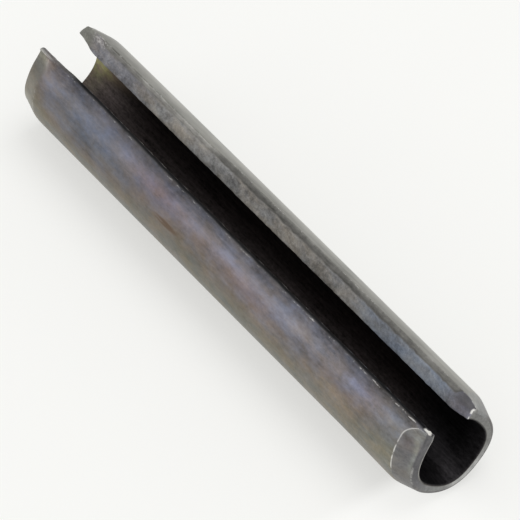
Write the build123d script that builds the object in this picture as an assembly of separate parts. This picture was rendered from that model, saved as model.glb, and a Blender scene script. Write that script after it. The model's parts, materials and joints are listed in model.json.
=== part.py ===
"""Slotted spring pin: spring-steel strip rolled into a C-shaped tube, with both ends coined thin.

The axis lies along X and the slot faces up (+Z), which is how the pin comes to rest on a flat
surface, because the missing arc puts its centre of mass below the axis. The origin is on the axis
at mid-length. The size is the 10 x 60 pin of the heavy metric series, free, before it is driven
into its hole. Lengths are in millimetres, and the named angles are in degrees.
"""
import os
from math import atan, cos, hypot, pi, radians, sin

from build123d import *

# Rolled tube
pin_length = 60.0
outer_diameter = 10.65       # free diameter; a 10 mm hole closes the slot
wall = 2.0
slot_angle = 56.0            # between the two radial faces of the slot

# Long edges of the strip
outer_edge_round = 0.25      # the side that the shear rolled over
inner_edge_round = 0.08

# Coined ends: the press thins the strip from both sides before it is rolled
lead_length = 2.35           # outer taper, along the axis
lead_depth = 0.72            # outer taper, in radius
mouth_length = 2.0           # inner taper, along the axis
end_wall = 0.78              # what is left of the wall at the end face
nose_round = 0.28            # outer edge of the end face
rim_round = 0.12             # inner edge of the end face

# Lips beside the slot: the corners of the strip, which the press leaves thicker
lip_spread = 18.0            # arc over which each lip rises, in degrees
lip_outer_rise = 0.42        # how far its outside stands above the outer taper
lip_inner_rise = 0.10        # how far its inside draws back from the bore, at the end face

# Drawing
nose_steps = 3               # flats that stand for the arc of the nose
overrun = 1.0                # how far a tool runs past what it cuts
lip_overrun = 2.0            # how far a lip's outline runs on over the slot, in degrees

# Worked out from the sizes above
outer_radius = outer_diameter / 2
bore_radius = outer_radius - wall
half_length = pin_length / 2
half_slot = slot_angle / 2
mouth_depth = wall - lead_depth - end_wall
end_outer_radius = outer_radius - lead_depth
shoulder_angle = half_slot + lip_spread


def section_plane(x):
    """The plane across the pin at x: its local x is Y and its local y is Z."""
    return Plane(origin=(x, 0, 0), x_dir=(0, 1, 0), z_dir=(1, 0, 0))


def polar(radius, angle):
    """A point of a section, by its angle from the top."""
    return (radius * sin(radians(angle)), radius * cos(radians(angle)))


def corners_by_radius(section):
    """The corners of a section, from the axis outwards."""
    return section.vertices().sort_by(lambda corner: hypot(corner.X, corner.Y))


def rolled_section():
    """The C of the straight part: a ring less the wedge of the slot, with its four corners rounded."""
    reach = 2 * outer_radius
    slot = make_face(Polyline((0, 0), polar(reach, -half_slot), polar(reach, half_slot), close=True))
    strip = Circle(outer_radius) - Circle(bore_radius) - slot
    strip = fillet(corners_by_radius(strip)[2:], outer_edge_round)
    return fillet(corners_by_radius(strip)[:2], inner_edge_round)


def lip_outline(radius, rise, side):
    """A quarter of a valley: from the shoulder to past the slot's face, the radius grows with the square
    of the way gone, and stands at radius + rise on the face itself."""
    points = []
    for angle in (shoulder_angle, shoulder_angle - lip_spread / 2, half_slot, half_slot - lip_overrun):
        share = (shoulder_angle - angle) / lip_spread
        points.append(polar(radius + rise * share ** 2, side * angle))
    start = polar(1, side * (shoulder_angle - 90))
    finish = (points[-1][0] - points[-2][0], points[-1][1] - points[-2][1])
    return Spline(*points, tangents=[start, finish])


def lipped_outline(x, radius, rise):
    """An outline across the pin: an arc round the back that rises to a lip on each side of the slot."""
    lips = [lip_outline(radius, rise, side) for side in (-1, 1)]
    back = CenterArc((0, 0), radius, 90 + shoulder_angle, 360 - 2 * shoulder_angle)
    over_slot = Line(lips[0] @ 1, lips[1] @ 1)
    return section_plane(x) * make_face([back, over_slot, *lips])


def lead_stations():
    """Places along the outer taper of the +X end, as (x, radius): the cone, then the arc of the nose,
    which touches the cone and the end face."""
    slope = lead_depth / lead_length
    stations = [(half_length - lead_length - overrun, outer_radius + slope * overrun)]
    arc_x = half_length - nose_round
    arc_radius = end_outer_radius + nose_round * (slope - hypot(1, slope))
    first_turn = atan(slope)
    for step in range(nose_steps + 1):
        turn = first_turn + (pi / 2 - first_turn) * step / nose_steps
        stations.append((arc_x + nose_round * sin(turn), arc_radius + nose_round * cos(turn)))
    return stations


def lead_envelope():
    """All that lies inside the outer taper of the +X end, as far back as the middle of the pin."""
    stations = lead_stations()
    nose = loft([lipped_outline(x, radius, lip_outer_rise) for x, radius in stations], ruled=True)
    middle = extrude(section_plane(-overrun) * Circle(2 * outer_radius), stations[0][0] + overrun)
    return middle + nose


def mouth():
    """What the inner taper of the +X end takes out of the bore."""
    inner_end = half_length - mouth_length
    outlines = []
    for x in (inner_end - overrun, half_length + overrun):
        share = (x - inner_end) / mouth_length
        outlines.append(lipped_outline(x, bore_radius + share * mouth_depth, share * lip_inner_rise))
    return loft(outlines, ruled=True)


def round_rim(half):
    """Rounds the inner edge of the end face, where the mouth meets it."""
    end_face = half.faces().sort_by(Axis.X)[-1]
    middle_of_wall = bore_radius + mouth_depth + (end_wall - nose_round) / 2
    rim = []
    for edge in end_face.edges():
        middle = edge @ 0.5
        along_wall = edge.geom_type == GeomType.LINE
        if not along_wall and hypot(middle.Y, middle.Z) < middle_of_wall + lip_inner_rise:
            rim.append(edge)
    return fillet(rim, rim_round)


def spring_pin():
    """The whole pin: one half with its shaped end, and the same half turned round."""
    blank = extrude(section_plane(0) * rolled_section(), half_length + overrun)
    half = round_rim((blank & lead_envelope()) - mouth())
    return half + mirror(half, about=Plane.YZ)


os.makedirs("parts", exist_ok=True)
export_step(spring_pin(), "parts/spring_pin.step")
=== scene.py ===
"""Slotted spring pin of heat-blackened spring steel, lying slot up on a pale floor.

The pin is one strip rolled into a C. Its skin is one closed grid of two parameters: rows go along the
pin, from the middle of one end face to the middle of the other, and columns go once round the edge of
the strip's section. Sizes of the pin are in millimetres and angles in degrees until its mesh is made.
"""
import json
import math
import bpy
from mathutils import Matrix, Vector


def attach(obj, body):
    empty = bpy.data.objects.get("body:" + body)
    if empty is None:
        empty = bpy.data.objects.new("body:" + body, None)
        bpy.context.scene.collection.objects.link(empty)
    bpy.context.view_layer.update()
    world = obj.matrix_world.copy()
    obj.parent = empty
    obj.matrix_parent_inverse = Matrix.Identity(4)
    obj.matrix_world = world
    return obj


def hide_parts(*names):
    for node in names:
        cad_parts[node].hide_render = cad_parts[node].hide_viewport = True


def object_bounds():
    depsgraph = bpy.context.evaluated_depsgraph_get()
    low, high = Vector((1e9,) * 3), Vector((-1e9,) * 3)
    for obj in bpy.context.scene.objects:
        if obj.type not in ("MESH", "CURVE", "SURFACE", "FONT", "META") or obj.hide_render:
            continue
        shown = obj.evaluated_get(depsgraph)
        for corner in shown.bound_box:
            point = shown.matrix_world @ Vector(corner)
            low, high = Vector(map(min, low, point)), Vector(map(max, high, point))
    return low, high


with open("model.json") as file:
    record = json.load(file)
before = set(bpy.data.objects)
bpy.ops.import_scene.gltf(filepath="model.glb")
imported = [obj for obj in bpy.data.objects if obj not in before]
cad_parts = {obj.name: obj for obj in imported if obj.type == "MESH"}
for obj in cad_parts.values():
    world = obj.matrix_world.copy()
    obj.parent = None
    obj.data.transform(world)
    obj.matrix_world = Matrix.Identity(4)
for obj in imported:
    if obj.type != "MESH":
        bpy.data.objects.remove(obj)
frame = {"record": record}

from types import SimpleNamespace

import bmesh
import bpy
import numpy as np
from mathutils import Matrix, Vector

cad_low, cad_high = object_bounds()
mm = 0.001

# Pin, from the frame; a hair under it, so that the skin stays inside the solid's box
end_hair, side_hair = 0.002, 0.0035
half_length = (cad_high.x - cad_low.x) / 2 / mm - end_hair
outer_radius = min(cad_high.y, -cad_low.y, -cad_low.z) / mm - side_hair
end_slimness = 0.027                   # how much slimmer the rolled strip is at its ends than half-way
bore_radius = next(m["dims"]["r_mm"] for m in frame["record"]["mounts"] if m["name"] == "bore")

# Names of the ends and lips, as signs of X and Y
near, far = 1, -1
right, left = 1, -1

# Slot and the long edges of the strip
half_slot = {right: 28.1, left: 27.6}
outer_edge_round = {right: 0.07, left: 0.42}
bore_edge_round = 0.06
burnish_share = 0.22                   # part of the right lip's wall that the shear left smooth
burnish_ease = 0.06                    # how much further down the wall the lean starts
burnish_lean = {near: 0.43, far: 0.13}  # how far that band leans back from the slot
lean_change = (-11, -5)                # x over which it goes from the far lean to the near one
lean_fade = (0.1, 2.6)                 # distances from the far end over which it comes up from nothing
lean_reach = 0.9                       # how far over the outer surface it fades out
wander_waves = (9.7, 5.3, 3.1, 1.9)    # the sheared edges wander by sines this long
wander_height = 0.018
wander_seed = {right: 4, left: 11}
wander_reach = 2.5                     # how far over the outer surface this fades out
far_narrowing = (-10, -21, 0.10)       # the left edge stands closer at the far end: from x, to x, distance
tip_opening = (-24.5, -28, 0.09)       # and back again at its very tip
jagged_waves = (1.7, 1.15, 0.8)        # the torn edge on the bore is jagged as well
jagged_height = 0.016
jagged_seed = 7
jagged_share = 0.25                    # part of the wall, from the bore, over which it fades out

# Coined ends; where there are two values for an end, they are for its right and its left side
lead_length = {near: (2.28, 2.28), far: (2.45, 2.20)}
lead_depth = 0.72
mouth_length = 2.0
mouth_depth = {near: 0.33, far: 0.45}
mouth_ease = 0.2                       # rounding where the inner taper starts, as a share of its length
nose_round = 0.28
rim_round = 0.12
lead_crease = {near: (0.05, 0.08), far: (0.12, 0.08)}  # rounding where the outer taper starts
end_lobes = {near: (0.115, 0.115), far: (0.03, 0.115)}  # the dies squeezed the ends into soft lobes
lobe_turn = 80.0                       # from one lobe to the next, counted from the back
lobe_reach = 3.2
cut_changes = [                        # (end, turn, width, how much deeper the taper is cut there)
    (near, 180.0, 22.0, 0.08),
    (near, 230.0, 20.0, -0.09),
    (near, 62.0, 20.0, -0.08),
    (far, 308.0, 26.0, -0.13),
    (far, 274.0, 18.0, -0.06),
    (far, 52.0, 25.0, -0.12),
]
# It swells before the near taper: from x, to x, turn, width, height
belly = (19.5, 27.5, 233.0, 24.0, 0.10)

# Lips beside the slot, at each end: arc, how far each side of the wall stands proud, and how far the
# lip's end draws back from the end plane
lip_spread = {(near, left): 22.0, (near, right): 18.0, (far, left): 18.0, (far, right): 18.0}
lip_outer_rise = {(near, left): 0.69, (near, right): 0.30, (far, left): 0.45, (far, right): 0.50}
lip_slant = {(near, left): 0.0, (near, right): 0.0, (far, left): 0.0, (far, right): 0.58}
lip_inner_rise = {(near, left): 0.10, (near, right): -0.08, (far, left): 0.15, (far, right): 0.10}

# The ends were cut a little out of square: how far they draw back on the slot's side and on the back
slot_set_back = {near: (0.26, 0.26), far: (-0.03, 0.16)}
back_set_back = {near: 0.0, far: 0.12}
set_back_reach = 3.0                   # how far into the pin the set-back fades out

# The near mouth flares at the slot's very edge
mouth_edge_flare = {right: 0.05, left: 0.30}
flare_reach = 5.0
mouth_hollow = (1.15, 0.85, 0.19)      # the far one is hollowed at its right edge: inset, width, depth

# Temper colours: how far they have run, 0 olive to 1 blue, and patches as (x, turn, length, width in
# degrees, how much further they ran, how much more rose they show). Turns count from the top, and on
# the right the colours are those of a turn from right_as on, changing a third as fast
olive_run, run_to_blue = 0.08, 0.72
blue_from, olive_from = -40.0, -96.0
right_as = -150.0
temper_patches = [
    (-18.5, -62.0, 7.0, 20.0, 0.36, -0.4),
    (-19.5, -78.0, 6.0, 12.0, 0.30, 0.0),
    (-9.5, -49.0, 4.5, 10.0, -0.12, 1.3),
    (-8.5, -68.0, 4.5, 12.0, -0.18, 0.5),
    (1.0, -54.0, 7.0, 10.0, -0.20, 0.6),
    (5.5, -64.0, 3.5, 11.0, -0.10, 0.8),
    (11.5, -59.0, 2.5, 8.0, 0.12, 0.0),
    (14.5, -43.0, 2.5, 8.0, -0.18, 0.0),
    (18.5, -69.0, 3.0, 12.0, -0.38, 0.7),
    (22.5, -46.0, 3.0, 9.0, 0.20, 0.7),
    (23.0, -66.0, 2.5, 12.0, -0.05, 0.4),
    (-28.5, -60.0, 3.0, 60.0, -0.40, 0.3),
    (26.5, -55.0, 4.0, 40.0, -0.25, -0.6),
]

# Distances from an end between which its own finish comes in
end_reach = (6.0, 4.0)

# Grain of the steel: stretch along the pin, blotches to a millimetre, detail, roughness
steel_grain = {
    "cloud": (0.5, 0.30, 3.0, 0.55),
    "patch": (0.7, 0.9, 3.0, 0.6),
    "drawn": (0.07, 3.4, 4.0, 0.65),
    "grit": (0.6, 3.6, 4.0, 0.7),
    "oxide": (0.45, 0.8, 4.0, 0.65),
    "tears": (1.15, 1.15, 4.0, 0.65),
    "specks": (1.0, 3.2, 4.0, 0.75),
    "chatter": (1.0, 1.6, 3.0, 0.7),
    "nicks": (0.55, 2.6, 4.0, 0.75),
}

# Colours of the outside, from olive to blue as the temper colours run
temper_stops = [
    (0.00, (0.168, 0.160, 0.130)), (0.22, (0.164, 0.146, 0.124)), (0.42, (0.158, 0.143, 0.138)),
    (0.62, (0.154, 0.146, 0.156)), (0.82, (0.148, 0.147, 0.168)), (1.00, (0.143, 0.148, 0.186)),
]
warm_tint, cool_tint = (1.065, 1.00, 0.905), (0.94, 1.00, 1.095)
# the right shoulder's colour, painted pale as a sheen
shoulder_sheen = (0.270, 0.266, 0.248)
# bright bare metal, for edges rubbed bare and for painted glints
bare_steel_and_glints = (0.80, 0.79, 0.76)
rust = (0.112, 0.070, 0.044)
rust_smear = (-6.8, 1.9, 288.3, 3.6)   # x, half length, turn, half width in degrees

# Colours of the bore
bore_black = {near: (0.030, 0.028, 0.030), far: (0.064, 0.053, 0.052)}
mouth_olive = (0.118, 0.112, 0.048)
mouth_brown = (0.078, 0.062, 0.042)
mouth_rust = (0.088, 0.066, 0.046)

# Colours of the slot's faces; the torn face's goes over to another from x, to x
torn_steel = (0.335, 0.320, 0.298)
torn_changes = [
    (8, 18, (0.205, 0.226, 0.262)),
    (25.5, 28.5, (0.150, 0.146, 0.170)),
    (-17, -23, (0.335, 0.324, 0.336)),
]
# the sheared face's colour, and a paler one painted as a highlight where it meets the outer surface
sheared_steel, sheared_rim_sheen = (0.185, 0.181, 0.168), (0.275, 0.270, 0.250)
step_shade = (0.080, 0.077, 0.073)
end_shade = (0.070, 0.066, 0.066)
tip_olive = (0.235, 0.238, 0.202)
# painted shade for the left lip's rolled-over corner, and a less dark one for its wall towards the bore
corner_shade, lower_wall_shade = (0.014, 0.014, 0.016), (0.085, 0.084, 0.088)

# Grid
arc_columns = 88
arc_bunching = 0.55                    # how much closer the columns stand beside the slot
corner_columns = 5
face_columns = 11
body_rows = 124
taper_rows = 26
nose_rows = 7
cap_rows = 4
taper_zone = 3.0
taper_rest = 0.02                      # its rows stop this far before the nose
face_inset = 4.0                       # degrees from the slot at which the end face's middle line stops
merge_distance = 1e-7                  # in metres


def smooth_step(low, high, value):
    """0 below low, 1 above high, and between them 3 t^2 - 2 t^3."""
    t = np.clip((value - low) / (high - low), 0, 1)
    return t * t * (3 - 2 * t)


def smooth_least(a, b, width):
    """The lesser of a and b, with the corner between them rounded: (a + b - sqrt((a-b)^2 + width^2)) / 2."""
    return (a + b - np.sqrt((a - b) ** 2 + width ** 2)) / 2


def ripple(x, wavelengths, seed):
    """A wavy line of height about 1: sines of the given wavelengths with seeded phases, added up."""
    phases = np.random.default_rng(seed).uniform(0, 2 * np.pi, len(wavelengths))
    waves = [np.sin(2 * np.pi * x / length + phase) for length, phase in zip(wavelengths, phases)]
    return sum(waves) / math.sqrt(len(wavelengths))


def by_place(values, end, side):
    """The value of the nearest end and lip, for whole arrays of ends and sides."""
    at_near = np.where(side > 0, values[near, right], values[near, left])
    at_far = np.where(side > 0, values[far, right], values[far, left])
    return np.where(end > 0, at_near, at_far)


def by_turn(values, end, turn):
    """The value of an end's right side, going over to that of its left side with the sine of the turn."""
    on_right = (1 + np.sin(np.radians(turn))) / 2
    at_end = [values[place][0] * on_right + values[place][1] * (1 - on_right) for place in (near, far)]
    return np.where(end > 0, *at_end)


def lip_profile(side):
    """Columns from the outer surface over one lip to the bore, as rows of (turn, edge, depth, lift,
    into_edge, into_wall): a quarter circle, the slot's face, and a smaller quarter circle.

    edge is the distance from the slot's face, depth is 0 on the bore and 1 on the outer surface, lift is
    a distance added to the radius, and the last two give the direction into the metal.
    """
    outer_round = outer_edge_round[side]
    angle = np.linspace(0, np.pi / 2, corner_columns + 1)
    outer = np.stack([outer_round * (1 - np.sin(angle)), np.ones_like(angle),
                      -outer_round * (1 - np.cos(angle)), np.sin(angle), -np.cos(angle)], 1)
    inner = np.stack([bore_edge_round * (1 - np.cos(angle)), np.zeros_like(angle),
                      bore_edge_round * (1 - np.sin(angle)), np.cos(angle), np.sin(angle)], 1)
    share = np.linspace(0, 1, face_columns + 2)[1:-1]
    face = np.stack([0 * share, 1 - share, -outer_round * (1 - share) + bore_edge_round * share,
                     np.ones_like(share), 0 * share], 1)
    profile = np.concatenate([outer, face, inner])
    turn = half_slot[right] if side > 0 else 360 - half_slot[left]
    return np.column_stack([np.full(len(profile), turn), profile])


def arc_profile(depth):
    """Columns round the back at one depth, from the right lip to the left one, bunched beside the slot:
    share = u - bunching * sin(2 pi u) / (2 pi)."""
    radius = outer_radius if depth else bore_radius
    edge_round = outer_edge_round if depth else {right: bore_edge_round, left: bore_edge_round}
    start, end = [half_slot[side] + np.degrees(edge_round[side] / radius) for side in (right, left)]
    u = np.linspace(0, 1, arc_columns + 2)[1:-1]
    share = u - arc_bunching * np.sin(2 * np.pi * u) / (2 * np.pi)
    turn = start + (360 - end - start) * share
    into_wall = -1.0 if depth else 1.0
    rest = np.tile([0.0, depth, 0.0, 0.0, into_wall], (len(turn), 1))
    return np.column_stack([turn, rest])


def strip_columns():
    """Once round the strip's section: outer arc, left lip, bore backwards, right lip backwards. fold is
    the turn at which each column reaches the middle of the end face, the same for both walls."""
    outer, left_lip = arc_profile(1.0), lip_profile(left)
    bore, right_lip = arc_profile(0.0)[::-1], lip_profile(right)[::-1]
    columns = np.concatenate([outer, left_lip, bore, right_lip])
    side = np.where(columns[:, 0] < 180, 1.0, -1.0)
    halfway = (outer[:, 0] + bore[::-1, 0]) / 2
    fold = np.concatenate([halfway, left_lip[:, 0], halfway[::-1], right_lip[:, 0]])
    fold = np.clip(fold, half_slot[right] + face_inset, 360 - half_slot[left] - face_inset)
    return columns.T, side, fold


def strip_rows():
    """Along the pin, as (end, inset, nose, close): which end is nearer, the distance from its end plane,
    the share of the nose's arc gone, and the share of the way over the end face to the wall's middle."""
    insets = np.concatenate([np.linspace(half_length, taper_zone, body_rows, endpoint=False),
                             np.linspace(taper_zone, nose_round + taper_rest, taper_rows)])
    nose = np.linspace(0, 1, nose_rows)
    close = np.linspace(0, 1, cap_rows + 1)[1:]
    inset = np.concatenate([insets, np.zeros(nose_rows + cap_rows)])
    on_nose = np.concatenate([np.full(len(insets), -1.0), nose, np.ones(cap_rows)])
    closing = np.concatenate([np.zeros(len(insets) + nose_rows), close])
    half = np.stack([np.ones_like(inset), inset, on_nose, closing])
    other = half[:, :0:-1].copy()
    other[0] = -1
    return np.concatenate([other, half], 1)


def lip_share(end, side, gap):
    """1 on the slot's face, falling to 0 at the shoulder, with the square of the distance left."""
    return np.clip(1 - gap / by_place(lip_spread, end, side), 0, 1) ** 2


def taper_start(end, side, gap, turn):
    """The inset at which the outer taper meets the free radius."""
    rise = by_place(lip_outer_rise, end, side) * lip_share(end, side, gap)
    return (lead_depth - rise) * by_turn(lead_length, end, turn) / lead_depth


def die_lobes(inset, end, turn):
    """Height of the soft lobes at an end: cos(2 pi (180 - |turn|) / lobe_turn), fading into the pin."""
    from_back = 180 - np.abs((turn + 180) % 360 - 180)
    fade = np.clip(1 - inset / lobe_reach, 0, 1) ** 1.5
    return by_turn(end_lobes, end, turn) * fade * np.cos(2 * np.pi * from_back / lobe_turn)


def outer_wall(inset, end, side, gap, turn):
    """Radius of the outer surface: the free radius, least at the ends by the square of the distance from
    the middle, swollen before the near taper, and cut down by the end's taper, which fades at the lips."""
    plain = outer_radius - end_slimness * (1 - inset / half_length) ** 2
    swell_from, swell_to, swell_turn, swell_width, swell_height = belly
    swollen = smooth_step(swell_from, swell_to, end * (half_length - inset))
    free = plain + swell_height * swollen * np.exp(-((turn - swell_turn) / swell_width) ** 2)
    deeper = sum((end == place) * change * np.exp(-((turn - middle) / width) ** 2)
                 for place, middle, width, change in cut_changes)
    slope = (lead_depth + deeper) / by_turn(lead_length, end, turn)
    taper = plain + (inset - taper_start(end, side, gap, turn)) * slope + die_lobes(inset, end, turn)
    return smooth_least(free, taper, by_turn(lead_crease, end, turn))


def bore_wall(inset, end, side, gap, turn):
    """Radius of the bore: plain in the middle, widening to the mouth at the ends, with an eased start, and
    hollowed beside the far right lip."""
    depth = np.where(end > 0, mouth_depth[near], mouth_depth[far])
    flare = np.where(side > 0, mouth_edge_flare[right], mouth_edge_flare[left])
    mouth = depth + by_place(lip_inner_rise, end, side) * lip_share(end, side, gap)
    mouth = mouth + (end > 0) * flare * np.exp(-(gap / flare_reach) ** 2)
    way_out = 1 - inset / mouth_length
    share = (way_out + np.sqrt(way_out ** 2 + mouth_ease ** 2)) / 2
    hollow_inset, hollow_width, hollow_depth = mouth_hollow
    hollow = hollow_depth * np.exp(-((inset - hollow_inset) / hollow_width) ** 2 - (gap / flare_reach) ** 2)
    hollow = hollow * ((end < 0) & (side > 0))
    return bore_radius + share * mouth + hollow + die_lobes(inset, end, turn)


def temper_colours(x, turn):
    """How far the temper colours have run, from olive round the back to blue beside the left of the slot,
    and how rose they are: each patch adds its change times exp(-(dx/length)^2 - (dturn/width)^2)."""
    angle = (turn + 180) % 360 - 180
    blue_angle = np.where(angle > 0, right_as + angle / 3, angle)
    run = olive_run + run_to_blue * smooth_step(olive_from, blue_from, blue_angle)
    rose = 0 * run
    for patch_x, patch_angle, length, width, further, rosier in temper_patches:
        share = np.exp(-((x - patch_x) / length) ** 2 - ((angle - patch_angle) / width) ** 2)
        run, rose = run + further * share, rose + rosier * share
    return run, rose


def edge_wander(x, side, wall_share):
    """How far a slot edge stands back from its straight line: slow waves on both edges, a step towards
    the slot at the left one's far end, and jagged waves where the torn face meets the bore."""
    on_right, on_left = [ripple(x, wander_waves, wander_seed[lip]) for lip in (right, left)]
    waves = np.where(side > 0, on_right, on_left) * wander_height
    narrow_from, narrow_to, narrowing = far_narrowing
    open_from, open_to, opening = tip_opening
    closer = narrowing * smooth_step(narrow_from, narrow_to, x) - opening * smooth_step(open_from, open_to, x)
    closer = closer * (side < 0)
    jagged = ripple(x, jagged_waves, jagged_seed) * jagged_height
    return waves - closer + jagged * smooth_step(jagged_share, 0.0, wall_share)


def nose_arc(end_round, slope, nose):
    """How far a point of the nose has left the surface, round * (1/cos f - tan f - cos b), and the end
    plane, round * (1 - sin b), where f is the slope and b grows from f to a right angle."""
    bend = slope + (np.pi / 2 - slope) * np.clip(nose, 0, 1)
    return end_round * (1 / np.cos(slope) - np.tan(slope) - np.cos(bend)), end_round * (1 - np.sin(bend))


def strip_surface():
    """Every vertex of the pin's skin as (x, turn, radius), and the layers that its finish follows. The
    radius goes from bore_wall to outer_wall with depth, plus lift, and is drawn in on the nose."""
    (turn, edge, depth, lift, into_edge, into_wall), side, fold = strip_columns()
    end, inset, nose, close = [row[:, None] for row in strip_rows()]
    turn = turn + (fold - turn) * close
    gap = np.minimum(turn - half_slot[right], 360 - half_slot[left] - turn)
    outer = outer_wall(inset, end, side, gap, turn)
    bore = bore_wall(inset, end, side, gap, turn)

    on_nose = nose >= 0
    end_round = rim_round + (nose_round - rim_round) * depth
    taper_slope = np.arctan2(lead_depth, by_turn(lead_length, end, turn))
    slope = taper_slope * np.abs(into_wall)
    drawn_in, back = nose_arc(end_round, slope, nose)
    back = np.where(on_nose, back, inset)
    radius = bore + (outer - bore) * depth + lift + on_nose * drawn_in * into_wall
    shift = edge + on_nose * drawn_in * into_edge

    # at a lip's corner neither rounding passes the other
    roof = outer - nose_arc(end_round, taper_slope, nose)[0]
    radius = np.where(on_nose & (depth > 0), np.minimum(radius, roof), radius)
    arc_gap = np.radians(gap) * radius
    wall = nose_arc(end_round, 0 * slope, nose)[0] - arc_gap
    shift = np.where(on_nose & (into_wall != 0), np.maximum(shift, wall), shift)

    radius = radius + ((outer + bore) / 2 - radius) * close
    wall_share = (radius - bore) / (outer - bore)

    # the ends draw back from their planes, and a slanted lip more so towards its outer edge
    height = (1 + np.cos(np.radians(turn))) / 2
    set_back = (by_turn(slot_set_back, end, turn) * height
                + np.where(end > 0, back_set_back[near], back_set_back[far]) * (1 - height))
    slanted = by_place(lip_slant, end, side) * lip_share(end, side, gap) * np.clip(wall_share, 0, 1) ** 1.5
    x = end * (half_length - back - set_back * np.exp(-back / set_back_reach) - slanted * np.exp(-back))

    # the burnished band of the right lip leans back, and the outer surface beside it follows
    to_near = smooth_step(*lean_change, x)
    leaning = burnish_lean[far] + (burnish_lean[near] - burnish_lean[far]) * to_near
    leaning = leaning * smooth_step(*lean_fade, x + half_length)
    lean = leaning * smooth_step(1 - burnish_share - burnish_ease, 1.0, wall_share) * (side > 0)
    shift = shift + lean * np.exp(-arc_gap / lean_reach)
    shift = shift + edge_wander(x, side, wall_share) * np.exp(-arc_gap / wander_reach)
    angle = turn + side * np.degrees(shift * (1 - close) / radius)

    run, rose = temper_colours(x, turn)
    layers = {
        "wall_share": wall_share,
        "to_taper": inset - taper_start(end, side, gap, turn),
        "on_cap": close,
        "on_lip": into_edge,
        "side": side,
        "place_x": end * (half_length - inset),
        "from_slot": arc_gap,
        "turn": turn,
        "nose": np.clip(nose, 0, 1) * (1 - close),
        "run": run,
        "rose": rose,
    }
    return x, angle, radius, layers


def grid_mesh(name, points, layers):
    """A closed skin from a grid of points: quads between rows and columns, the columns joined into a
    loop, and the first and last row folded shut by merging the points that fall together."""
    rows, columns = points.shape[:2]
    index = np.arange(rows * columns).reshape(rows, columns)
    quads = np.stack([index[:-1], np.roll(index, -1, 1)[:-1], np.roll(index, -1, 1)[1:], index[1:]], -1)
    mesh = bpy.data.meshes.new(name)
    mesh.from_pydata(points.reshape(-1, 3), [], quads.reshape(-1, 4))
    for layer, values in layers.items():
        values = np.broadcast_to(values, (rows, columns)).ravel()
        mesh.attributes.new(layer, "FLOAT", "POINT").data.foreach_set("value", values)
    bm = bmesh.new()
    bm.from_mesh(mesh)
    bmesh.ops.remove_doubles(bm, verts=bm.verts, dist=merge_distance)
    bmesh.ops.recalc_face_normals(bm, faces=bm.faces)
    bm.to_mesh(mesh)
    bm.free()
    mesh.shade_smooth()
    return mesh


def rolled_pin():
    """The pin as one mesh: x along the axis, the turn measured from the top towards +Y."""
    x, angle, radius, layers = strip_surface()
    x = np.broadcast_to(x, radius.shape)
    turned = np.radians(angle)
    points = np.stack([x, radius * np.sin(turned), radius * np.cos(turned)], -1) * mm
    mesh = grid_mesh("rolled_pin", points, layers)
    pin = bpy.data.objects.new("rolled_pin", mesh)
    bpy.context.collection.objects.link(pin)
    return pin


class Socket:
    """An output in a material's node tree. Arithmetic on it adds the Math nodes that work it out."""

    def __init__(self, finish, output):
        self.finish = finish
        self.output = output

    def maths(self, operation, *values):
        return self.finish.node("ShaderNodeMath", {"operation": operation}, dict(enumerate(values)))

    def __add__(self, other):
        return self.maths("ADD", self, other)

    def __radd__(self, other):
        return self.maths("ADD", other, self)

    def __sub__(self, other):
        return self.maths("SUBTRACT", self, other)

    def __rsub__(self, other):
        return self.maths("SUBTRACT", other, self)

    def __mul__(self, other):
        return self.maths("MULTIPLY", self, other)

    def __rmul__(self, other):
        return self.maths("MULTIPLY", other, self)

    def __truediv__(self, other):
        return self.maths("DIVIDE", self, other)

    def most(self, other):
        """The larger of two values."""
        return self.maths("MAXIMUM", self, other)

    def rise(self, low, high):
        """0 below low, 1 above high, and 3 t^2 - 2 t^3 between; with low above high it falls instead."""
        return self.finish.node("ShaderNodeMapRange", {"interpolation_type": "SMOOTHSTEP"},
                                {0: self, 1: low, 2: high})

    def within(self, low, full, fading, high):
        """0 below low, 1 from full to fading, and 0 above high, smoothly between."""
        return self.rise(low, full) * self.rise(high, fading)

    def bump_at(self, place, width):
        """exp(-((value - place) / width)^2), a soft band around one value."""
        away = (self - place) / width
        return self.maths("EXPONENT", away * away * -1)


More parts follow.
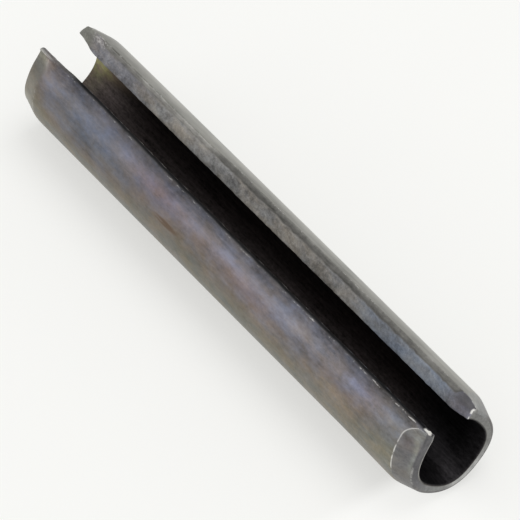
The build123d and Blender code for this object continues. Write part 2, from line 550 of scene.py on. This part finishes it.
class Finish:
    """The node tree of a material or of the room's light, filled through one method."""

    def __init__(self, owner, shader):
        owner.use_nodes = True
        self.nodes = owner.node_tree.nodes
        self.links = owner.node_tree.links
        self.shader = self.nodes[shader]

    def node(self, kind, settings, sockets, out=0):
        """Add a node of one kind, apply its settings, then fill its sockets; gives one output back."""
        node = self.nodes.new(kind)
        stops = settings.pop("stops", None)
        for setting, value in settings.items():
            setattr(node, setting, value)
        if stops:
            ramp = node.color_ramp
            while len(ramp.elements) < len(stops):
                ramp.elements.new(1.0)
            for element, (place, colour) in zip(ramp.elements, stops):
                element.position = place
                element.color = (*colour, 1)
        for name, value in sockets.items():
            self.fill(node.inputs[name], value)
        return Socket(self, node.outputs[out])

    def shade(self, **values):
        """Fill the shader's sockets; an underscore in a name stands for a space."""
        for name, value in values.items():
            self.fill(self.shader.inputs[name.replace("_", " ")], value)

    def fill(self, socket, value):
        """Link an output to a socket, or write a plain value into it."""
        if isinstance(value, Socket):
            self.links.new(value.output, socket)
        elif isinstance(value, tuple) and len(value) == 3 and socket.type == "RGBA":
            socket.default_value = (*value, 1)
        else:
            socket.default_value = value

    def layer(self, name):
        """A number that the mesh carries at its vertices."""
        return self.node("ShaderNodeAttribute", {"attribute_name": name}, {}, "Fac")

    def place(self, stretch=1.0):
        """Place on the piece in millimetres, with X times a factor."""
        here = self.node("ShaderNodeTexCoord", {}, {}, "Object")
        return self.node("ShaderNodeVectorMath", {"operation": "MULTIPLY"},
                         {0: here, 1: (stretch / mm, 1 / mm, 1 / mm)})

    def noise(self, where, scale, detail, roughness):
        """Cloudy values about 0.5, with scale blotches to a millimetre."""
        return self.node("ShaderNodeTexNoise", {},
                         {"Vector": where, "Scale": scale, "Detail": detail, "Roughness": roughness})

    def blend(self, share, under, over, how="MIX"):
        """Colour under, with the given share of colour over."""
        return self.node("ShaderNodeMix", {"data_type": "RGBA", "blend_type": how},
                         {0: share, 6: under, 7: over}, 2)

    def coats(self, under, *coats):
        """Colour under, and over it each (share, colour) in turn."""
        for share, over in coats:
            under = self.blend(share, under, over)
        return under

    def tone(self, colour, level):
        """A colour made this many times as light."""
        grey = self.node("ShaderNodeCombineColor", {}, {0: level, 1: level, 2: level})
        return self.blend(1.0, colour, grey, "MULTIPLY")


def swing(skin, **heights):
    """The named grains, each as (value - 0.5) * height, added up."""
    return sum((getattr(skin, name) - 0.5) * height for name, height in heights.items())


def steel_skin(steel):
    """What the steel's finish follows: the layers of the mesh, its regions, and the grain."""
    layers = ("wall_share", "on_lip", "on_cap", "to_taper", "place_x", "turn", "nose", "from_slot")
    skin = SimpleNamespace(**{name: steel.layer(name) for name in layers})
    for name, (stretch, scale, detail, roughness) in steel_grain.items():
        setattr(skin, name, steel.noise(steel.place(stretch), scale, detail, roughness))

    # regions, 1 where a point belongs to them
    skin.on_left = steel.layer("side").rise(0.5, -0.5)
    skin.outside = skin.wall_share.rise(0.3, 0.6)
    skin.off_lip = 1 - skin.on_lip
    skin.open_face = skin.on_cap.rise(0.0, 0.3)
    skin.right_face = skin.on_lip * (1 - skin.on_left)
    skin.left_outside = skin.on_left * skin.outside

    # ends: millimetres from the far one, and the last few at each
    skin.from_far = skin.place_x + half_length
    skin.near_end = skin.place_x.rise(half_length - end_reach[0], half_length - end_reach[1])
    skin.far_end = skin.from_far.rise(*end_reach)

    # across the left slot edge's rounding: 1 on the slot's face, 0 where the outside starts, less beyond
    skin.edge_way = skin.on_lip - skin.from_slot / outer_edge_round[left]

    # oxide shifts the hue a little in patches, and the strip is blotched and has lines drawn along it
    skin.tints = steel.blend(skin.oxide.rise(0.32, 0.68), warm_tint, cool_tint)
    strength = 1.0 + 0.6 * skin.from_slot.rise(1.6, 0.3) + 0.25 * skin.place_x.rise(0, 20)
    skin.mottle = 1.0 + swing(skin, drawn=0.48, patch=0.70, grit=0.62, cloud=0.66) * strength
    return skin


def temper_finish(steel, skin):
    """The outside: temper colours in blotches, a right shoulder painted paler as a sheen, a painted highlight
    on the left of the near half, and a smear of rust.
    """
    place_x, turn = skin.place_x, skin.turn
    run = steel.layer("run") + swing(skin, cloud=0.6, patch=0.4)
    rose = steel.layer("rose")
    rosy = steel.node("ShaderNodeCombineColor", {}, {0: 1 + rose * 0.05, 1: 1 - rose * 0.04, 2: 1.0})
    temper = steel.node("ShaderNodeValToRGB", {"stops": temper_stops}, {0: run})
    temper = steel.blend(1.0, temper, skin.tints, "MULTIPLY")
    temper = steel.blend(1.0, temper, rosy, "MULTIPLY")

    # lighter towards the near end, low down and beside the slot at the far end, with uneven stretches, and
    # with a painted highlight on the left of the near half, at turns 308 to 322
    level = 0.89 + place_x.rise(-30, 14) * 0.17
    for change in (turn.rise(303, 288) * (0.12 + 0.08 * place_x.rise(0, -20)),
                   -0.12 * place_x.bump_at(-10.0, 4.5) * turn.rise(292, 302),
                   0.05 * place_x.rise(6, 16) * turn.within(308, 312, 317, 322),
                   -0.07 * place_x.rise(14, 18) * turn.within(294, 299, 308, 313),
                   0.50 * place_x.rise(-24, -28) * turn.rise(313, 326)):
        level = level * (1 + change)
    temper = steel.tone(temper, skin.mottle * level)

    # painted sheen: the right shoulder is coloured paler, and paler still from turn 36 to 47 towards its
    # outline
    pale_level = (0.95 + 0.27 * turn.rise(36, 47)) * (1 + swing(skin, cloud=1.1, drawn=0.7, patch=0.4))
    pale = steel.tone(shoulder_sheen, pale_level)
    smear_x, smear_length, smear_turn, smear_width = rust_smear
    along, across = (place_x - smear_x) / smear_length, (turn - smear_turn) / smear_width
    rusty = (along * along + across * across).rise(1.5, 0.2) * skin.drawn.rise(0.30, 0.56)
    return steel.coats(temper, (turn.within(24, 30, 70, 110) * 0.9, pale), (rusty * 0.75, rust))


def bore_scale(steel, skin):
    """The bore: black scale, browned towards the far mouth, with lines drawn along it."""
    place_x, from_far, turn = skin.place_x, skin.from_far, skin.turn
    browned = (from_far + 2.8 - 5.0 * turn.rise(126, 92)).rise(8.0, 1.5)
    browned = browned * (turn.rise(175, 100) + turn.rise(185, 260))
    brown = steel.coats(mouth_olive, (from_far.rise(2.0, 4.5), mouth_brown),
                        (skin.patch.rise(0.35, 0.65), mouth_rust))
    level = 0.55 + 1.35 * turn.bump_at(99, 17) + 0.4 * turn.rise(95, 75) + 0.42 * turn.rise(135, 165)
    level = level + 0.45 * from_far.rise(2.2, 0.8) * turn.rise(95, 115)
    scale = steel.coats(bore_black[far], (place_x.rise(18, 26), bore_black[near]),
                        (browned, steel.tone(brown, level)))
    return steel.tone(scale, 1.0 + swing(skin, drawn=2.2, grit=2.2) * (1 - 0.6 * browned))


def slot_faces(steel, skin, colour):
    """The slot's faces laid over a colour: torn rough next to the bore, and sheared smooth next to the
    outside, and the left lip's rolled-over corner painted dark as shade. Gives also where they are torn,
    and where the left lip's corner is rolled over."""
    place_x, from_far, wall_share, on_lip = skin.place_x, skin.from_far, skin.wall_share, skin.on_lip
    to_an_end = from_far.rise(3.8, 2.2) + place_x.rise(27.2, 28.2)
    ragged = wall_share + swing(skin, tears=0.20) - to_an_end * 0.4
    torn = ragged.rise(1 - burnish_share + 0.03, 1 - burnish_share - 0.05) * on_lip
    step = ragged.bump_at(1 - burnish_share, 0.07) * skin.right_face

    far_dull = 1 - 0.27 * place_x.rise(-17, -25)
    chips = 1.0 + swing(skin, tears=1.45, specks=1.3, cloud=1.7, patch=0.6)
    chips = chips * far_dull * (1 + 0.12 * place_x.rise(16, 22))
    torn_hue = steel.coats(torn_steel, *[(place_x.rise(start, end), hue) for start, end, hue in torn_changes])
    torn_colour = steel.tone(steel.blend(0.7, torn_hue, skin.tints, "MULTIPLY"), chips)
    # painted highlight: the sheared face goes paler where it meets the outer surface
    sheared_colour = steel.blend(wall_share.rise(0.88, 1.0), sheared_steel, sheared_rim_sheen)
    sheared_colour = steel.tone(sheared_colour, skin.mottle * far_dull)

    # the faces darken into the near end, and go olive at the far tip
    near_shade = place_x.rise(26.6, 28.4) * wall_share.rise(0.35, 0.80) * skin.right_face
    far_tip = from_far.rise(2.6, 1.2) * skin.right_face
    colour = steel.coats(colour, (on_lip * (1 - torn), sheared_colour), (torn, torn_colour),
                         (step * 0.4, step_shade), (near_shade * 0.75, end_shade),
                         (far_tip * 0.8, steel.tone(tip_olive, skin.mottle)))

    # the left lip's rolled-over corner and its wall are painted dark as shade, but hardly at all at the far
    # end
    rolled_over = skin.edge_way.rise(-0.15, 0.70) * skin.on_left * wall_share.rise(0.05, 0.30)
    rolled_over = rolled_over * (1 - 0.88 * from_far.rise(7, 3.5))
    # the painted shade's colour: darkest on the corner, less dark down the wall towards the bore
    scale = steel.blend(wall_share.rise(0.76, 0.50), corner_shade, lower_wall_shade)
    return steel.blend(rolled_over * 0.95, colour, steel.tone(scale, chips)), torn, rolled_over


def coined_ends(steel, skin, colour):
    """The coined ends laid over a colour: greyer tapers, a painted highlight along the near nose, and plain
    end faces.
    """
    place_x, turn, near_end, far_end = skin.place_x, skin.turn, skin.near_end, skin.far_end
    soften = far_end * 0.55
    taper = skin.to_taper.rise(soften + 0.03, soften * -1 - 0.06) * skin.off_lip * skin.outside
    # painted highlight: a pale band along the near nose on the left
    nose_highlight = (place_x - 0.45 * turn.rise(318, 300)).bump_at(29.3, 0.32) * turn.within(262, 285, 316, 324)
    taper_colour = steel.coats(
        (0.205, 0.208, 0.172),
        (turn.rise(318, 300), (0.210, 0.196, 0.164)),  # lower down on the left
        (place_x.rise(-1, 1), (0.166, 0.160, 0.160)),  # the near taper
        (place_x.bump_at(28.6, 0.5) * turn.bump_at(307, 9) * 0.7, (0.130, 0.113, 0.113)),  # a dull spot
        (far_end * turn.bump_at(310, 13) * 0.8, (0.135, 0.128, 0.110)),  # a dark patch
        (far_end * turn.bump_at(267, 9) * 0.8, (0.330, 0.320, 0.265)),  # a pale patch
        (turn.rise(75, 50), (0.288, 0.285, 0.275)),  # beside the right lips
        (turn.rise(310, 318) * near_end, (0.200, 0.198, 0.192)),  # beside the near left lip
        (turn.rise(321, 326) * far_end, (0.270, 0.275, 0.225)),  # beside the far left lip
        (nose_highlight * 0.9, (0.245, 0.248, 0.226)))
    taper_colour = steel.tone(steel.blend(0.45, taper_colour, skin.tints, "MULTIPLY"), skin.mottle)

    # the end face, from the right lip round the back to the left one
    face_colour = steel.coats(
        (0.200, 0.198, 0.194),
        (turn.rise(45, 75), (0.300, 0.300, 0.294)),
        (turn.within(50, 75, 105, 125), (0.245, 0.244, 0.236)),
        (turn.rise(120, 145), (0.430, 0.430, 0.425)),
        (turn.rise(178, 188), (0.258, 0.258, 0.254)),
        (turn.rise(205, 255), (0.122, 0.120, 0.126)))
    nose_face = skin.nose.rise(0.0, 0.45) * near_end * skin.outside * skin.off_lip * turn.rise(235, 262)
    return steel.coats(colour, (taper * (0.9 - 0.15 * far_end), taper_colour),
                       (skin.open_face.most(nose_face), steel.tone(face_colour, skin.mottle)))


def worn_edges_and_glints(skin):
    """Where wear has bared the metal: along creases, edges and noses, in broken lines and small spots. The
    burrs, the far tip and the bar and spot on the right nose are also painted glints, and the near tip a
    painted highlight.
    """
    place_x, from_far, turn = skin.place_x, skin.from_far, skin.turn
    wall_share, on_lip, nose, edge_way = skin.wall_share, skin.on_lip, skin.nose, skin.edge_way
    left_outside, near_end = skin.left_outside, skin.near_end

    # creases where the tapers start
    crease = skin.to_taper.bump_at(0.0, 0.060) * near_end * on_lip.rise(0.7, 0.3) * left_outside
    crease = crease * (skin.chatter.rise(0.34, 0.56) + on_lip.rise(0.0, 0.2))
    crease = crease * (0.50 + 0.4 * turn.rise(300, 288)) * turn.rise(256, 270)
    far_crease = skin.to_taper.bump_at(0.0, 0.10) * skin.far_end * skin.off_lip * left_outside
    far_crease = far_crease * skin.chatter.rise(0.40, 0.60) * turn.rise(302, 292) * 0.22

    # the slot's left edge: burrs along it, drawn bright as painted glints, a painted glint at its far tip,
    # and a painted highlight on its near tip
    burrs = edge_way.within(-0.50, -0.22, 0.05, 0.30) * left_outside * skin.nicks.rise(0.53, 0.64)
    burrs = burrs * (0.36 + 0.54 * place_x.rise(8, 13))
    tip_glint = edge_way.within(-0.20, 0.05, 0.35, 0.60) * left_outside * from_far.rise(2.6, 1.6) * 0.32
    near_tip_highlight = place_x.rise(29.15, 29.45) * edge_way.rise(0.18, 0.42) * left_outside
    near_tip_highlight = near_tip_highlight * skin.on_cap.rise(0.5, 0.2)
    near_tip_highlight = near_tip_highlight * edge_way.rise(0.92, 0.72).most(place_x.rise(29.75, 29.9))

    # the slot's right edge: its line, a rubbed place at the far tip, and two marks on its near nose, a
    # painted glint bar and spot
    edge_line = on_lip.within(0.05, 0.3, 0.8, 1.0) * (1 - skin.on_left) * skin.outside
    edge_line = edge_line * skin.nicks.rise(0.50, 0.66) * 0.7
    rubbed = from_far.within(1.4, 2.0, 3.4, 4.4) * wall_share.rise(0.50, 0.70) * skin.right_face
    rubbed = rubbed * skin.specks.rise(0.50, 0.62) * 0.35
    right_nose = nose.rise(0.15, 0.5) * near_end * skin.right_face * (1 - skin.open_face)
    nose_glint_bar = right_nose * wall_share.within(0.42, 0.55, 0.82, 0.93)
    spot = right_nose * wall_share.rise(0.30, 0.15) * 0.7

    # the near end: the bore's rim and a line along the nose
    rim = nose.rise(0.3, 0.8) * near_end * wall_share.rise(0.20, 0.08) * skin.off_lip
    rim = rim * skin.on_cap.rise(0.35, 0.1) * turn.rise(235, 280) * 0.45
    nose_line = nose.bump_at(0.45, 0.30) * left_outside * skin.off_lip * (1 - skin.open_face) * near_end
    nose_line = nose_line * skin.chatter.rise(0.40, 0.60) * turn.within(250, 262, 280, 292) * 0.35

    worn_and_glints = crease
    for mark in (far_crease, burrs, tip_glint, near_tip_highlight, edge_line, rubbed, nose_glint_bar, spot, rim, nose_line):
        worn_and_glints = worn_and_glints.most(mark)
    return worn_and_glints


def tempered_steel_finish():
    """Spring steel in the colours that the tempering bath left: blue-violet beside the slot, running
    through rose to olive lower down, in blotches a few millimetres across, with bright metal where edges
    are rubbed bare and as painted glints, painted highlights on the shoulder, nose and edges, and painted
    shade on the left lip's corner."""
    material = bpy.data.materials.new("tempered_steel_finish")
    steel = Finish(material, "Principled BSDF")
    skin = steel_skin(steel)
    inside = skin.wall_share.rise(0.25, 0.02) * skin.off_lip
    colour = steel.blend(inside, temper_finish(steel, skin), bore_scale(steel, skin))
    colour, torn, rolled_over = slot_faces(steel, skin, colour)
    colour = coined_ends(steel, skin, colour)
    worn_and_glints = worn_edges_and_glints(skin)
    # bare metal where edges are rubbed, and painted glints and highlights
    colour = steel.blend(worn_and_glints, colour, bare_steel_and_glints)

    rough = 0.38 + torn * 0.22 + rolled_over * 0.45 + inside * 0.12 - worn_and_glints * 0.06 + swing(skin, drawn=0.12)
    metallic = 1 - 0.7 * torn * (1 - rolled_over)
    height = swing(skin, drawn=0.010, patch=0.025, grit=0.012) + torn * swing(skin, tears=0.14, specks=0.03)
    normal = steel.node("ShaderNodeBump", {}, {"Strength": 1.0, "Distance": mm, "Height": height})
    steel.shade(Base_Color=colour, Roughness=rough, Metallic=metallic, Normal=normal)
    return material


pin = rolled_pin()
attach(pin, "root")
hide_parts("spring_pin")
pin.data.materials.append(tempered_steel_finish())


# Floor: a wide sheet. Where the camera or a reflection sees it, a white glow covers a share of it, which
# softens its shadow. Before the near end, over the x and y given, the camera sees a further share
sheet_reach = 1.5
sheet_whites = [(0.885, 0.89, 0.86), (0.905, 0.905, 0.88)]
glow_white = (1.0, 1.0, 0.98)
shadow_lift = 0.54
near_lift = 0.24
near_lift_x = (24.5, 27.0)
near_lift_y = (3.5, -2.5)

# Lamps: name, place and size in metres, watts
lamps = [
    ("left_window", (-0.45, -0.66, 0.27), (0.7, 0.22), 0.7),
    ("ceiling_panel", (0.1, 0.25, 0.8), (0.6, 0.6), 2.5),
]

# Light of the room, from the horizon to straight above
room_stops = [
    (0.0, (1.02, 1.02, 1.01)), (0.25, (1.0, 1.0, 1.0)), (0.42, (0.88, 0.88, 0.88)),
    (0.6, (0.5, 0.5, 0.5)), (1.0, (0.7, 0.7, 0.7)),
]


def paper_floor():
    """A wide white sheet under the pin. The camera and reflections see its shadow softened by a glow."""
    mesh = bpy.data.meshes.new("paper_floor")
    corners = [(-1, -1), (1, -1), (1, 1), (-1, 1)]
    mesh.from_pydata([(x * sheet_reach, y * sheet_reach, cad_low.z) for x, y in corners], [],
                     [(0, 1, 2, 3)])
    sheet = bpy.data.objects.new("paper_floor", mesh)
    bpy.context.collection.objects.link(sheet)
    material = bpy.data.materials.new("white_paper")
    paper = Finish(material, "Principled BSDF")
    fibres = paper.noise(paper.place(), 0.05, 2.0, 0.5)
    paper.shade(Base_Color=paper.blend(fibres, *sheet_whites), Roughness=0.9)
    glow = paper.node("ShaderNodeEmission", {}, {"Color": glow_white})
    seen = paper.node("ShaderNodeLightPath", {}, {}, "Is Camera Ray")
    mirrored = paper.node("ShaderNodeLightPath", {}, {}, "Is Glossy Ray")
    along = paper.node("ShaderNodeSeparateXYZ", {}, {0: paper.place()}, "X")
    across = paper.node("ShaderNodeSeparateXYZ", {}, {0: paper.place()}, "Y")
    before_near_end = along.rise(*near_lift_x) * across.rise(*near_lift_y)
    lift = (seen + mirrored) * shadow_lift + seen * before_near_end * near_lift
    lit = Socket(paper, paper.shader.outputs[0])
    sheet_look = paper.node("ShaderNodeMixShader", {}, {0: lift, 1: lit, 2: glow})
    paper.links.new(sheet_look.output, paper.nodes["Material Output"].inputs["Surface"])
    mesh.materials.append(material)
    return sheet


def area_lamp(name, place, size, power):
    """A soft panel at a place, turned to the pin."""
    light = bpy.data.lights.new(name, "AREA")
    light.shape = "RECTANGLE"
    light.size, light.size_y = size
    light.energy = power
    lamp = bpy.data.objects.new(name, light)
    lamp.location = place
    lamp.rotation_euler = (-Vector(place)).to_track_quat("-Z", "Y").to_euler()
    bpy.context.collection.objects.link(lamp)


paper_floor()

world = bpy.data.worlds.new("soft_room")
bpy.context.scene.world = world
room = Finish(world, "Background")
heading = room.node("ShaderNodeTexCoord", {}, {}, "Generated")
height = room.node("ShaderNodeSeparateXYZ", {}, {0: heading}, "Z")
room.shade(Strength=1.0, Color=room.node("ShaderNodeValToRGB", {"stops": room_stops}, {0: height}))
for lamp in lamps:
    area_lamp(*lamp)

# Camera: where it stands, seen from the middle of the pin, and how it is turned
view_azimuth = -54.317
view_elevation = 48.206
view_roll = 1.223
view_distance = 0.5746
lens_length = 432.75
sensor_width = 36.0
image_shift = (6.673 / 520, -5.094 / 520)  # in shares of the picture's width

camera_data = bpy.data.cameras.new("camera")
camera_data.lens = lens_length
camera_data.sensor_width = sensor_width
camera_data.shift_x, camera_data.shift_y = image_shift
camera_data.clip_start = 0.01
camera = bpy.data.objects.new("camera", camera_data)
turn_about_up = Matrix.Rotation(math.radians(-view_azimuth), 3, "Z")
tip = Matrix.Rotation(math.radians(90 - view_elevation), 3, "X")
roll = Matrix.Rotation(math.radians(-view_roll), 3, "Z")
pose = turn_about_up @ tip @ roll
camera.location = pose @ Vector((0, 0, view_distance))
camera.rotation_euler = pose.to_euler()
bpy.context.collection.objects.link(camera)
bpy.context.scene.camera = camera
bpy.context.scene.view_settings.view_transform = "Standard"
